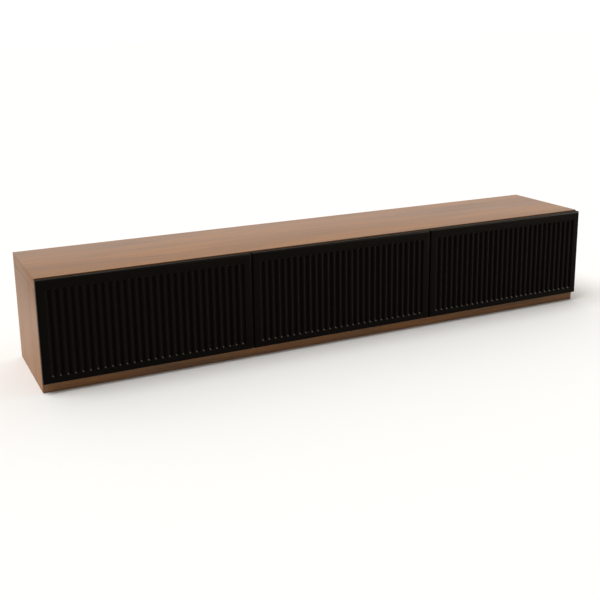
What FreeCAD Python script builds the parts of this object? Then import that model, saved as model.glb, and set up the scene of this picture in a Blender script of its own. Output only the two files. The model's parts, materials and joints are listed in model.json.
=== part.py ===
"""Low media cabinet: a walnut-laminate carcase on a flush plinth, with three drop-down flaps.

Millimetres. +X runs along the cabinet to the right as seen from the front, -Y is the front, +Z is up.
The origin is on the floor, under the middle of the whole cabinet, closed flaps included.
"""
import FreeCAD, Part
import math
import os

from FreeCAD import Matrix, Placement, Vector

# ---------------------------------------------------------------- driving dimensions
WIDTH = 2000.0
HEIGHT = 351.0
CARCASE_DEPTH = 354.0
TOP_THICKNESS = 36.0
BOARD = 18.0
BAYS = 3

FLAP_THICKNESS = 18.0
FLAP_STANDOFF = 2.0
FLAP_GAP = 4.0
FLAP_BOTTOM = 32.0
FLAP_TOP_REVEAL = 3.5
FLAP_EDGE_RADIUS = 5.0
BAY_NAMES = ("left", "middle", "right")

GROOVES = 28
GROOVE_PITCH = 22.15
GROOVE_RADIUS = 9.5
GROOVE_DEPTH = 4.5
GROOVE_TOP_MARGIN = 27.0
GROOVE_BOTTOM_MARGIN = 19.5

PLINTH_HEIGHT = 34.0
PLINTH_REAR_INSET = 18.0
BACK_THICKNESS = 3.0
BACK_INSET = 10.0
BACK_GROOVE_DEPTH = 5.0
BACK_GROOVE_PLAY = 0.2
CABLE_HOLE_RADIUS = 30.0
GROMMET_BORE_RADIUS = 26.0

# hinges: the pin's axis lies inside the flap's lower back corner
HINGE_AXIS_IN_FRONT = 6.0
HINGE_AXIS_ABOVE_EDGE = 4.0
HINGE_OFFSETS = (-230.0, 0.0, 230.0)
HINGE_WIDTH = 60.0
HINGE_SHEET = 1.5
KNUCKLE_RADIUS = 3.0
PIN_RADIUS = 1.5
PIN_RUNNING_FIT = 0.05
KNUCKLE_GAP = 0.3
MIDDLE_KNUCKLE = 20.0

# stays: the flap pivot and the brake's swivel are equally far from the hinge axis,
# so the rod always turns by exactly half the flap's angle
STAY_RADIUS = 150.0
STAY_SWIVEL_ANGLE = 50.0
STAY_FLAP_STANDOFF = 14.0
STAY_FROM_UPRIGHT = 12.0
ROD_RADIUS = 3.0
FLAP_OPEN_ANGLE = 90.0
BRAKE_LENGTH = 28.0
BRAKE_HEIGHT = 18.0
BRAKE_WIDTH = 16.0

# knock-down fittings
CAM_RADIUS = 7.5
CAM_DEPTH = 12.5
CAM_SETBACK = 34.0
DOWEL_RADIUS = 4.0
DOWEL_LENGTH = 30.0
DOWEL_IN_RECEIVER = 12.0
FITTING_YS = (-117.0, 137.0)
DOWEL_YS = (-85.0, 105.0)

# ---------------------------------------------------------------- derived places
DEPTH = CARCASE_DEPTH + FLAP_STANDOFF + FLAP_THICKNESS
BACK = DEPTH / 2
FRONT = BACK - CARCASE_DEPTH
FLAP_BACK = FRONT - FLAP_STANDOFF
FLAP_FRONT = FLAP_BACK - FLAP_THICKNESS
LEFT = -WIDTH / 2
RIGHT = WIDTH / 2
INNER_LEFT = LEFT + BOARD
INNER_RIGHT = RIGHT - BOARD

TOP_UNDERSIDE = HEIGHT - TOP_THICKNESS
FLOOR_TOP = PLINTH_HEIGHT + BOARD
FLAP_TOP = HEIGHT - FLAP_TOP_REVEAL
FLAP_WIDTH = (WIDTH - (BAYS - 1) * FLAP_GAP) / BAYS
FLAP_PITCH = FLAP_WIDTH + FLAP_GAP
FLAP_CENTRES = [(index - (BAYS - 1) / 2) * FLAP_PITCH for index in range(BAYS)]
DIVIDER_CENTRES = [(first + second) / 2 for first, second in zip(FLAP_CENTRES, FLAP_CENTRES[1:])]

BACK_PANEL_Y = BACK - BACK_INSET - BACK_THICKNESS
BACK_GROOVE_Y = BACK_PANEL_Y - BACK_GROOVE_PLAY / 2
BACK_GROOVE_WIDTH = BACK_THICKNESS + BACK_GROOVE_PLAY
CABLE_HOLE_Z = (FLOOR_TOP + TOP_UNDERSIDE) / 2

HINGE_Y = FRONT - HINGE_AXIS_IN_FRONT
HINGE_Z = FLAP_BOTTOM + HINGE_AXIS_ABOVE_EDGE
HINGE_HALF = HINGE_WIDTH / 2

# left and right inner face of each bay
BAY_SIDES = [
    (INNER_LEFT, DIVIDER_CENTRES[0] - BOARD / 2),
    (DIVIDER_CENTRES[0] + BOARD / 2, DIVIDER_CENTRES[1] - BOARD / 2),
    (DIVIDER_CENTRES[1] + BOARD / 2, INNER_RIGHT),
]

X_AXIS = Vector(1, 0, 0)
Y_AXIS = Vector(0, 1, 0)
Z_AXIS = Vector(0, 0, 1)
SAME_PLACE = 1e-6


# ---------------------------------------------------------------- small shape helpers
def block(x0, x1, y0, y1, z0, z1):
    """Box between two corners."""
    return Part.makeBox(x1 - x0, y1 - y0, z1 - z0, Vector(x0, y0, z0))


def bar(start, end, radius):
    """Round bar between two points."""
    span = end - start
    return Part.makeCylinder(radius, span.Length, start, span)


def moved(shape, origin, x_direction, z_direction):
    """Copy of a shape drawn about the origin, put at a place with its local X and Z turned as given."""
    y_direction = z_direction.cross(x_direction)
    matrix = Matrix(
        x_direction.x, y_direction.x, z_direction.x, origin.x,
        x_direction.y, y_direction.y, z_direction.y, origin.y,
        x_direction.z, y_direction.z, z_direction.z, origin.z,
        0, 0, 0, 1,
    )
    copy = shape.copy()
    copy.Placement = Placement(matrix).multiply(copy.Placement)
    return copy


def save(node, *solids):
    """Write one node: a single solid, or a group of separate equal pieces."""
    shape = solids[0] if len(solids) == 1 else Part.makeCompound(list(solids))
    shape.exportStep(os.path.join("parts", node + ".step"))


# ---------------------------------------------------------------- screws and fittings
SCREW_HEAD_RADIUS = 3.2
SCREW_SHANK_RADIUS = 1.6
SCREW_HEAD_HEIGHT = 1.5
RECESS_DEPTH_OF_HEAD = 0.6
RECESS_REACH_OF_HEAD = 0.55
RECESS_BLADE_OF_HEAD = 0.12


def countersunk_hole(length, head_radius=SCREW_HEAD_RADIUS, shank_radius=SCREW_SHANK_RADIUS,
                     head_height=SCREW_HEAD_HEIGHT):
    """The hole that a countersunk screw fills: its face at local Z 0, its shank towards -Z."""
    head = Part.makeCone(shank_radius, head_radius, head_height, Vector(0, 0, -head_height))
    shank = Part.makeCylinder(shank_radius, length - head_height, Vector(0, 0, -length))
    return head.fuse(shank)


def countersunk_screw(length, head_radius=SCREW_HEAD_RADIUS, head_height=SCREW_HEAD_HEIGHT, **sizes):
    """Countersunk screw that fills its hole, with a cross recess in the head."""
    screw = countersunk_hole(length, head_radius=head_radius, head_height=head_height, **sizes)
    recess_depth = head_height * RECESS_DEPTH_OF_HEAD
    reach = head_radius * RECESS_REACH_OF_HEAD
    blade_half = head_radius * RECESS_BLADE_OF_HEAD
    across = block(-reach, reach, -blade_half, blade_half, -recess_depth, 0)
    along = block(-blade_half, blade_half, -reach, reach, -recess_depth, 0)
    return screw.cut([across, along])


def placed_screws(places, length, **sizes):
    """Screws at (head point, direction the head faces)."""
    screw = countersunk_screw(length, **sizes)
    return [moved(screw, point, square_to(out), out) for point, out in places]


def placed_holes(places, length, **sizes):
    """Screw holes at (head point, direction the head faces)."""
    hole = countersunk_hole(length, **sizes)
    return [moved(hole, point, square_to(out), out) for point, out in places]


def square_to(direction):
    """A unit vector square to a row axis."""
    return Z_AXIS if abs(direction.z) < abs(direction.x) + abs(direction.y) else X_AXIS


# A cam fitting is drawn about the joint between two boards: the bolt is screwed into the receiving
# board (+Z), the cam sits in the other board (-Z), and its slotted face looks along +X.
CAM_CLEARANCE = 0.1
CAM_SLOT_HALF = 3.6
BOLT_HOLE_RADIUS = 4.0
BOLT_THREAD_RADIUS = 3.5
BOLT_THREAD_LENGTH = 11.0
BOLT_SHANK_RADIUS = 2.5
BOLT_HEAD_RADIUS = 3.3
BOLT_HEAD_LENGTH = 4.0
DRIVER_SLOT_HALF = 0.6
DRIVER_SLOT_DEPTH = 3.0
DRIVER_SLOT_REACH = 4.5
BOLT_HEAD_PAST_CAM = 1.0
DOWEL_CHAMFER = 1.0


def cam_housing():
    """Zinc cam: a short drum with a cavity for the bolt's head and a cross slot for the driver."""
    face = BOARD / 2
    drum = bar(Vector(face - CAM_DEPTH, 0, -CAM_SETBACK), Vector(face, 0, -CAM_SETBACK),
               CAM_RADIUS - CAM_CLEARANCE)
    mouth = block(-CAM_SLOT_HALF, CAM_SLOT_HALF, -CAM_SLOT_HALF, CAM_SLOT_HALF,
                  -CAM_SETBACK, -CAM_SETBACK + CAM_RADIUS)
    across = block(face - DRIVER_SLOT_DEPTH, face, -DRIVER_SLOT_REACH, DRIVER_SLOT_REACH,
                   -CAM_SETBACK - DRIVER_SLOT_HALF, -CAM_SETBACK + DRIVER_SLOT_HALF)
    along = block(face - DRIVER_SLOT_DEPTH, face, -DRIVER_SLOT_HALF, DRIVER_SLOT_HALF,
                  -CAM_SETBACK - DRIVER_SLOT_REACH, -CAM_SETBACK + DRIVER_SLOT_REACH)
    return drum.cut([mouth, across, along])


def cam_bolt():
    """Steel cam bolt: thread in the receiving board, shank and round head in the cam."""
    thread = Part.makeCylinder(BOLT_THREAD_RADIUS, BOLT_THREAD_LENGTH)
    head_end = -CAM_SETBACK + BOLT_HEAD_PAST_CAM
    neck = Part.makeCylinder(BOLT_SHANK_RADIUS, -head_end, Vector(0, 0, head_end))
    head = Part.makeCylinder(BOLT_HEAD_RADIUS, BOLT_HEAD_LENGTH, Vector(0, 0, head_end))
    return thread.fuse([neck, head]).removeSplitter()


def cam_pocket():
    """What is drilled out of the board that holds the cam."""
    face = BOARD / 2
    pocket = bar(Vector(face - CAM_DEPTH, 0, -CAM_SETBACK), Vector(face, 0, -CAM_SETBACK), CAM_RADIUS)
    return pocket.fuse(Part.makeCylinder(BOLT_HOLE_RADIUS, CAM_SETBACK, Vector(0, 0, -CAM_SETBACK)))


def bolt_hole():
    """What is drilled out of the board that receives the bolt."""
    return Part.makeCylinder(BOLT_THREAD_RADIUS, BOLT_THREAD_LENGTH)


def dowel():
    """Beech dowel across the joint, with chamfered ends."""
    plug = Part.makeCylinder(DOWEL_RADIUS, DOWEL_LENGTH, Vector(0, 0, DOWEL_IN_RECEIVER - DOWEL_LENGTH))
    rims = [edge for edge in plug.Edges if edge.Curve.TypeId == "Part::GeomCircle"]
    return plug.makeChamfer(DOWEL_CHAMFER, rims)


def dowel_hole():
    """What is drilled out of both boards for a dowel."""
    return Part.makeCylinder(DOWEL_RADIUS, DOWEL_LENGTH, Vector(0, 0, DOWEL_IN_RECEIVER - DOWEL_LENGTH))


def upright_centres():
    """Middle plane of each upright board, from left to right."""
    return [LEFT + BOARD / 2] + DIVIDER_CENTRES + [RIGHT - BOARD / 2]


def top_joints(ys):
    """Joints between the top panel and one upright after the other: (place, face, bolt direction)."""
    faces = (X_AXIS, X_AXIS, -X_AXIS, -X_AXIS)
    joints = []
    for centre, face in zip(upright_centres(), faces):
        joints.append([(Vector(centre, y, TOP_UNDERSIDE), face, Z_AXIS) for y in ys])
    return joints


def floor_joints(ys):
    """Joints between the bottom panel's ends and the two side panels."""
    middle = PLINTH_HEIGHT + BOARD / 2
    left = [(Vector(INNER_LEFT, y, middle), -Z_AXIS, -X_AXIS) for y in ys]
    right = [(Vector(INNER_RIGHT, y, middle), -Z_AXIS, X_AXIS) for y in ys]
    return [left, right]


def at_joints(shape, joints):
    """One copy of a fitting or of its hole at each joint."""
    return [moved(shape, place, face, bolt) for place, face, bolt in joints]


CONFIRMAT_LENGTH = 50.0
CONFIRMAT_HEAD_RADIUS = 5.0
CONFIRMAT_SHANK_RADIUS = 3.4
CONFIRMAT_HEAD_HEIGHT = 3.0
CONFIRMAT = dict(head_radius=CONFIRMAT_HEAD_RADIUS, shank_radius=CONFIRMAT_SHANK_RADIUS,
                 head_height=CONFIRMAT_HEAD_HEIGHT)
HEAD_SPACE = 2.0


def confirmat_places():
    """Screws up through the bottom panel into the foot of each divider."""
    return [(Vector(x, y, PLINTH_HEIGHT), -Z_AXIS) for x in DIVIDER_CENTRES for y in FITTING_YS]


# ---------------------------------------------------------------- carcase boards
def back_groove(x0, x1, z0, z1):
    """Slot for the back panels' edges."""
    return block(x0, x1, BACK_GROOVE_Y, BACK_GROOVE_Y + BACK_GROOVE_WIDTH, z0, z1)


def top_panel():
    """Thick top over the ends of all four uprights."""
    panel = block(LEFT, RIGHT, FRONT, BACK, TOP_UNDERSIDE, HEIGHT)
    cuts = [back_groove(INNER_LEFT - BACK_GROOVE_DEPTH, INNER_RIGHT + BACK_GROOVE_DEPTH,
                        TOP_UNDERSIDE, TOP_UNDERSIDE + BACK_GROOVE_DEPTH)]
    for joints in top_joints(FITTING_YS):
        cuts += at_joints(bolt_hole(), joints)
    for joints in top_joints(DOWEL_YS):
        cuts += at_joints(dowel_hole(), joints)
    cuts += placed_holes(latch_screw_places(), LATCH_SCREW)
    return panel.cut(cuts)


def side_panel(side):
    """End board from the floor to the top's underside; side 0 is the left one."""
    left = side == 0
    x0 = LEFT if left else INNER_RIGHT
    groove_x = INNER_LEFT - BACK_GROOVE_DEPTH if left else INNER_RIGHT
    upright = 0 if left else BAYS
    panel = block(x0, x0 + BOARD, FRONT, BACK, 0, TOP_UNDERSIDE)
    cuts = [back_groove(groove_x, groove_x + BACK_GROOVE_DEPTH,
                        FLOOR_TOP - BACK_GROOVE_DEPTH, TOP_UNDERSIDE)]
    cuts += at_joints(cam_pocket(), top_joints(FITTING_YS)[upright])
    cuts += at_joints(dowel_hole(), top_joints(DOWEL_YS)[upright])
    cuts += at_joints(bolt_hole(), floor_joints(FITTING_YS)[side])
    cuts += at_joints(dowel_hole(), floor_joints(DOWEL_YS)[side])
    cuts += stay_plate_holes(INNER_LEFT if left else INNER_RIGHT)
    return panel.cut(cuts)


def divider(index):
    """Upright between two bays, standing on the bottom panel."""
    centre = DIVIDER_CENTRES[index]
    low_x = centre - BOARD / 2
    high_x = centre + BOARD / 2
    panel = block(low_x, high_x, FRONT, BACK, FLOOR_TOP, TOP_UNDERSIDE)
    cuts = [
        back_groove(low_x, low_x + BACK_GROOVE_DEPTH, FLOOR_TOP, TOP_UNDERSIDE),
        back_groove(high_x - BACK_GROOVE_DEPTH, high_x, FLOOR_TOP, TOP_UNDERSIDE),
    ]
    cuts += at_joints(cam_pocket(), top_joints(FITTING_YS)[index + 1])
    cuts += at_joints(dowel_hole(), top_joints(DOWEL_YS)[index + 1])
    cuts += placed_holes(confirmat_places(), CONFIRMAT_LENGTH, **CONFIRMAT)
    cuts += stay_plate_holes(low_x)
    cuts += stay_plate_holes(high_x)
    return panel.cut(cuts)


def bottom_panel():
    """Floor of the three bays, between the side panels and on the plinth."""
    panel = block(INNER_LEFT, INNER_RIGHT, FRONT, BACK, PLINTH_HEIGHT, FLOOR_TOP)
    cuts = [back_groove(INNER_LEFT, INNER_RIGHT, FLOOR_TOP - BACK_GROOVE_DEPTH, FLOOR_TOP)]
    for joints in floor_joints(FITTING_YS):
        cuts += at_joints(cam_pocket(), joints)
    for joints in floor_joints(DOWEL_YS):
        cuts += at_joints(dowel_hole(), joints)
    cuts += placed_holes(confirmat_places(), CONFIRMAT_LENGTH, **CONFIRMAT)
    cuts += placed_holes(fixed_leaf_screw_places(), LEAF_SCREW)
    cuts += placed_holes(bracket_screw_places()[0], BRACKET_SCREW)
    return panel.cut(cuts)


def across_back(bay, start_y, thickness, radius):
    """Disc about the axis of one bay's cable outlet."""
    return Part.makeCylinder(radius, thickness, Vector(FLAP_CENTRES[bay], start_y, CABLE_HOLE_Z), Y_AXIS)


def back_panel(bay):
    """Thin back of one bay, held in grooves all round, with its cable outlet."""
    low_x, high_x = BAY_SIDES[bay]
    reach = BACK_GROOVE_DEPTH - 2 * BACK_GROOVE_PLAY
    panel = block(low_x - reach, high_x + reach, BACK_PANEL_Y, BACK_PANEL_Y + BACK_THICKNESS,
                  FLOOR_TOP - reach, TOP_UNDERSIDE + reach)
    return panel.cut(across_back(bay, BACK_PANEL_Y, BACK_THICKNESS, CABLE_HOLE_RADIUS))


GROMMET_FLANGE = 36.0
GROMMET_FLANGE_THICKNESS = 2.0
GROMMET_BARBS = 31.5


def cable_grommet(bay):
    """Plastic ring snapped into a cable outlet: flange behind, low lip inside."""
    lip_start = BACK_PANEL_Y - GROMMET_FLANGE_THICKNESS
    flange_start = BACK_PANEL_Y + BACK_THICKNESS
    length = flange_start + GROMMET_FLANGE_THICKNESS - lip_start
    flange = across_back(bay, flange_start, GROMMET_FLANGE_THICKNESS, GROMMET_FLANGE)
    sleeve = across_back(bay, lip_start, length, CABLE_HOLE_RADIUS)
    lip = across_back(bay, lip_start, GROMMET_FLANGE_THICKNESS, GROMMET_BARBS)
    bore = across_back(bay, lip_start, length, GROMMET_BORE_RADIUS)
    return flange.fuse([sleeve, lip]).cut(bore).removeSplitter()


# ---------------------------------------------------------------- plinth
def plinth_front():
    """Front plinth board, flush with the carcase front between the side panels."""
    board = block(INNER_LEFT, INNER_RIGHT, FRONT, FRONT + BOARD, 0, PLINTH_HEIGHT)
    return board.cut(placed_holes(bracket_screw_places()[1], BRACKET_SCREW))


def plinth_rear():
    """Rear plinth board, set in from the back for a skirting board."""
    y1 = BACK - PLINTH_REAR_INSET
    board = block(INNER_LEFT, INNER_RIGHT, y1 - BOARD, y1, 0, PLINTH_HEIGHT)
    return board.cut(placed_holes(bracket_screw_places()[2], BRACKET_SCREW))


def plinth_stretchers():
    """Cross boards under both dividers and under the middle."""
    y0 = FRONT + BOARD
    y1 = BACK - PLINTH_REAR_INSET - BOARD
    centres = [DIVIDER_CENTRES[0], 0.0, DIVIDER_CENTRES[1]]
    boards = [block(x - BOARD / 2, x + BOARD / 2, y0, y1, 0, PLINTH_HEIGHT) for x in centres]
    head_places = [point - HEAD_SPACE * Z_AXIS for point, _ in confirmat_places()]
    heads = [Part.makeCylinder(CONFIRMAT_HEAD_RADIUS + 1, HEAD_SPACE, place) for place in head_places]
    return [board.cut(heads) for board in boards]


BRACKET_XS = (-900.0, -550.0, -200.0, 200.0, 550.0, 900.0)
BRACKET_LEG = 24.0
BRACKET_HALF = 10.0
BRACKET_SHEET = 2.0
BRACKET_SCREW = 16.0
BRACKET_HOLE_FROM_CORNER = 15.0


def bracket_rows():
    """Plinth faces that carry brackets: (face Y, direction into the cabinet's underside)."""
    return [(FRONT + BOARD, 1.0), (BACK - PLINTH_REAR_INSET - BOARD, -1.0)]


def bracket_screw_places():
    """Bracket screws in the bottom panel, in the front board and in the rear board."""
    upward = []
    boards = []
    for face_y, inward in bracket_rows():
        hole_y = face_y + inward * BRACKET_HOLE_FROM_CORNER
        head_y = face_y + inward * BRACKET_SHEET
        hole_z = PLINTH_HEIGHT - BRACKET_HOLE_FROM_CORNER
        upward += [(Vector(x, hole_y, PLINTH_HEIGHT - BRACKET_SHEET), -Z_AXIS) for x in BRACKET_XS]
        boards.append([(Vector(x, head_y, hole_z), Vector(0, inward, 0)) for x in BRACKET_XS])
    return upward, boards[0], boards[1]


def plinth_brackets():
    """Steel angles that hang the plinth boards under the bottom panel."""
    upward, front, rear = bracket_screw_places()
    holes = placed_holes(upward + front + rear, BRACKET_SCREW)
    brackets = []
    for face_y, inward in bracket_rows():
        y0, y1 = sorted((face_y, face_y + inward * BRACKET_LEG))
        s0, s1 = sorted((face_y, face_y + inward * BRACKET_SHEET))
        for x in BRACKET_XS:
            x0 = x - BRACKET_HALF
            x1 = x + BRACKET_HALF
            flat = block(x0, x1, y0, y1, PLINTH_HEIGHT - BRACKET_SHEET, PLINTH_HEIGHT)
            drop = block(x0, x1, s0, s1, PLINTH_HEIGHT - BRACKET_LEG, PLINTH_HEIGHT)
            brackets.append(flat.fuse(drop).removeSplitter().cut(holes))
    return brackets


# ---------------------------------------------------------------- flap panels
def groove_cutter(centre_x):
    """Round-bottomed groove with ball ends, as a core-box cutter leaves it."""
    cutter_y = FLAP_FRONT - GROOVE_RADIUS + GROOVE_DEPTH
    mouth_half = math.sqrt(GROOVE_RADIUS ** 2 - (GROOVE_RADIUS - GROOVE_DEPTH) ** 2)
    low = Vector(centre_x, cutter_y, FLAP_BOTTOM + GROOVE_BOTTOM_MARGIN + mouth_half)
    high = Vector(centre_x, cutter_y, FLAP_TOP - GROOVE_TOP_MARGIN - mouth_half)
    cutter = bar(low, high, GROOVE_RADIUS)
    return cutter.fuse([Part.makeSphere(GROOVE_RADIUS, low), Part.makeSphere(GROOVE_RADIUS, high)])


NOTCH_PLAY = 1.0
NOTCH_ABOVE_AXIS = 4.5
NOTCH_BEFORE_AXIS = 4.2
LEAF_BACK_FROM_AXIS = 3.0
FLAP_LEAF_TOP = 30.0


def hinge_notch(centre_x):
    """Clearance for the knuckles at the flap's lower back corner, and the moving leaf's recess above it."""
    half = HINGE_HALF + NOTCH_PLAY
    notch = block(centre_x - half, centre_x + half, HINGE_Y - NOTCH_BEFORE_AXIS, FLAP_BACK,
                  FLAP_BOTTOM, HINGE_Z + NOTCH_ABOVE_AXIS)
    recess = block(centre_x - HINGE_HALF, centre_x + HINGE_HALF, HINGE_Y + LEAF_BACK_FROM_AXIS - HINGE_SHEET,
                   FLAP_BACK, HINGE_Z + NOTCH_ABOVE_AXIS, HINGE_Z + FLAP_LEAF_TOP)
    return notch.fuse(recess)


def flap_panel(bay):
    """Board with rounded front edges, vertical grooves in front and hinge notches behind."""
    centre = FLAP_CENTRES[bay]
    half = FLAP_WIDTH / 2
    panel = block(centre - half, centre + half, FLAP_FRONT, FLAP_BACK, FLAP_BOTTOM, FLAP_TOP)
    front_edges = [edge for edge in panel.Edges if abs(edge.BoundBox.YMax - FLAP_FRONT) < SAME_PLACE]
    panel = panel.makeFillet(FLAP_EDGE_RADIUS, front_edges)
    first = centre - (GROOVES - 1) * GROOVE_PITCH / 2
    cuts = [groove_cutter(first + index * GROOVE_PITCH) for index in range(GROOVES)]
    cuts += [hinge_notch(centre + offset) for offset in HINGE_OFFSETS]
    cuts += placed_holes(moving_leaf_screw_places(bay), FLAP_SCREW)
    cuts += placed_holes(flap_bracket_screw_places(bay), FLAP_BRACKET_SCREW)
    cuts += placed_holes(strike_screw_places(bay), FLAP_SCREW)
    return panel.cut(cuts)


# ---------------------------------------------------------------- hinges
LEAF_SCREW = 30.0
FLAP_SCREW = 10.0
LEAF_SCREW_OFFSET = 20.0
FIXED_LEAF_SCREW_Z = 9.0
MOVING_LEAF_SCREW_Z = 19.0
FIXED_LEAF_TOP = 15.0


def hinge_centres():
    """Middle of every hinge along the cabinet."""
    return [centre + offset for centre in FLAP_CENTRES for offset in HINGE_OFFSETS]


def fixed_leaf_screw_places():
    """Screws of the fixed leaves, into the bottom panel's front edge."""
    places = []
    for x in hinge_centres():
        for side in (-LEAF_SCREW_OFFSET, LEAF_SCREW_OFFSET):
            places.append((Vector(x + side, FRONT - HINGE_SHEET, HINGE_Z + FIXED_LEAF_SCREW_Z), -Y_AXIS))
    return places


def moving_leaf_screw_places(bay):
    """Screws of one flap's hinge leaves, into the flap's back."""
    places = []
    for offset in HINGE_OFFSETS:
        for side in (-LEAF_SCREW_OFFSET, LEAF_SCREW_OFFSET):
            point = Vector(FLAP_CENTRES[bay] + offset + side, HINGE_Y + LEAF_BACK_FROM_AXIS,
                           HINGE_Z + MOVING_LEAF_SCREW_Z)
            places.append((point, Y_AXIS))
    return places


def on_hinge_axis(x0, x1, radius):
    """Round bar about the hinge axis: a knuckle, a pin or the bore for it."""
    return bar(Vector(x0, HINGE_Y, HINGE_Z), Vector(x1, HINGE_Y, HINGE_Z), radius)


def fixed_leaf(centre_x):
    """Cranked leaf on the carcase: two outer knuckles, a web under each, an upright plate behind."""
    inner = MIDDLE_KNUCKLE / 2 + KNUCKLE_GAP
    low_z = HINGE_Z - KNUCKLE_RADIUS
    plate = block(centre_x - HINGE_HALF, centre_x + HINGE_HALF, FRONT - HINGE_SHEET, FRONT,
                  low_z, HINGE_Z + FIXED_LEAF_TOP)
    pieces = []
    for x0, x1 in ((centre_x - HINGE_HALF, centre_x - inner), (centre_x + inner, centre_x + HINGE_HALF)):
        pieces.append(on_hinge_axis(x0, x1, KNUCKLE_RADIUS))
        pieces.append(block(x0, x1, HINGE_Y, FRONT - HINGE_SHEET, low_z, low_z + HINGE_SHEET))
    leaf = plate.fuse(pieces).removeSplitter()
    bore = on_hinge_axis(centre_x - HINGE_HALF, centre_x + HINGE_HALF, PIN_RADIUS)
    return leaf.cut([bore] + placed_holes(fixed_leaf_screw_places(), LEAF_SCREW))


def moving_leaf(centre_x, screw_holes):
    """Flat leaf in the flap's recess with the middle knuckle."""
    x0 = centre_x - MIDDLE_KNUCKLE / 2
    x1 = centre_x + MIDDLE_KNUCKLE / 2
    y1 = HINGE_Y + LEAF_BACK_FROM_AXIS
    plate = block(centre_x - HINGE_HALF, centre_x + HINGE_HALF, y1 - HINGE_SHEET, y1,
                  HINGE_Z + NOTCH_ABOVE_AXIS, HINGE_Z + FLAP_LEAF_TOP)
    tab = block(x0, x1, y1 - HINGE_SHEET, y1, HINGE_Z, HINGE_Z + NOTCH_ABOVE_AXIS)
    leaf = plate.fuse([tab, on_hinge_axis(x0, x1, KNUCKLE_RADIUS)]).removeSplitter()
    return leaf.cut([on_hinge_axis(x0, x1, PIN_RADIUS + PIN_RUNNING_FIT)] + screw_holes)


def hinge_pin(centre_x):
    """Steel pin, pressed in the outer knuckles and free in the middle one."""
    return on_hinge_axis(centre_x - HINGE_HALF, centre_x + HINGE_HALF, PIN_RADIUS)


# ---------------------------------------------------------------- flap stays
STAY_PLATE_SHEET = 2.0
STAY_PLATE_HALF_HEIGHT = 26.0
STAY_PLATE_HALF_DEPTH = 11.0
STAY_PLATE_CORNER = 4.0
STAY_PLATE_SCREW = 9.0
STAY_PLATE_SCREW_OFFSET = 18.0
TRUNNION_RADIUS = 5.0
TRUNNION_LENGTH = 5.5
TRUNNION_FIT = 0.05
TRUNNION_END_GAP = 0.5
BRAKE_START = 4.0
BRAKE_CORNER = 4.0
ROD_FIT = 0.05
EYE_RADIUS = 5.0
EYE_HALF = 3.5
EYE_FIT = 0.05
STAY_PIN_RADIUS = 2.0
EAR_START = 4.0
EAR_SHEET = 2.0
EAR_RADIUS = 5.5
RIVET_HEAD = 1.0
STAY_BASE_SHEET = 2.0
STAY_BASE_HALF = 24.0
FLAP_BRACKET_SCREW = 12.0
FLAP_BRACKET_SCREW_OFFSET = 17.0
STOP_RADIUS = 4.5
STOP_LENGTH = 6.0
STOP_GAP = 0.5


def stay_pivot():
    """Rod's pivot on the closed flap, as (Y, Z) from the hinge axis."""
    return STAY_FLAP_STANDOFF, math.sqrt(STAY_RADIUS ** 2 - STAY_FLAP_STANDOFF ** 2)


def stay_swivel():
    """Brake's swivel on the upright, as (Y, Z) from the hinge axis."""
    angle = math.radians(STAY_SWIVEL_ANGLE)
    return STAY_RADIUS * math.cos(angle), STAY_RADIUS * math.sin(angle)


PIVOT_Y = HINGE_Y + stay_pivot()[0]
PIVOT_Z = HINGE_Z + stay_pivot()[1]
SWIVEL_Y = HINGE_Y + stay_swivel()[0]
SWIVEL_Z = HINGE_Z + stay_swivel()[1]
ROD_DIRECTION = Vector(0, SWIVEL_Y - PIVOT_Y, SWIVEL_Z - PIVOT_Z).normalize()
OPEN_ANGLE_AT_HINGE = math.radians(FLAP_OPEN_ANGLE - STAY_SWIVEL_ANGLE) + math.atan2(
    stay_pivot()[1], stay_pivot()[0])
ROD_REACH_OPEN = 2 * STAY_RADIUS * math.sin(OPEN_ANGLE_AT_HINGE / 2)
ROD_LENGTH = ROD_REACH_OPEN + BRAKE_LENGTH / 2 + STOP_GAP + STOP_LENGTH


def stay_planes(bay):
    """The two stays of a bay: (upright's face, direction into the bay)."""
    low_x, high_x = BAY_SIDES[bay]
    return [(low_x, 1.0), (high_x, -1.0)]


def all_stay_planes():
    """The stays of all bays."""
    return [plane for bay in range(BAYS) for plane in stay_planes(bay)]


def stay_plate_screw_places(face_x, inward):
    """Screws of one stay's plate, into the upright."""
    head_x = face_x + inward * STAY_PLATE_SHEET
    offsets = (-STAY_PLATE_SCREW_OFFSET, STAY_PLATE_SCREW_OFFSET)
    return [(Vector(head_x, SWIVEL_Y, SWIVEL_Z + offset), Vector(inward, 0, 0)) for offset in offsets]


def stay_plate_holes(face_x):
    """Screw holes in an upright's face."""
    holes = []
    for plane_x, inward in all_stay_planes():
        if abs(plane_x - face_x) < SAME_PLACE:
            holes += placed_holes(stay_plate_screw_places(plane_x, inward), STAY_PLATE_SCREW)
    return holes


def stay_plate(face_x, inward):
    """Steel plate on the upright with the trunnion that the brake swivels on."""
    x0, x1 = sorted((face_x, face_x + inward * STAY_PLATE_SHEET))
    plate = block(x0, x1, SWIVEL_Y - STAY_PLATE_HALF_DEPTH, SWIVEL_Y + STAY_PLATE_HALF_DEPTH,
                  SWIVEL_Z - STAY_PLATE_HALF_HEIGHT, SWIVEL_Z + STAY_PLATE_HALF_HEIGHT)
    corners = [edge for edge in plate.Edges if edge.BoundBox.XLength > STAY_PLATE_SHEET / 2]
    plate = plate.makeFillet(STAY_PLATE_CORNER, corners)
    trunnion = bar(Vector(face_x, SWIVEL_Y, SWIVEL_Z),
                   Vector(face_x + inward * (STAY_PLATE_SHEET + TRUNNION_LENGTH), SWIVEL_Y, SWIVEL_Z),
                   TRUNNION_RADIUS)
    holes = placed_holes(stay_plate_screw_places(face_x, inward), STAY_PLATE_SCREW)
    return plate.fuse(trunnion).removeSplitter().cut(holes)


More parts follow.
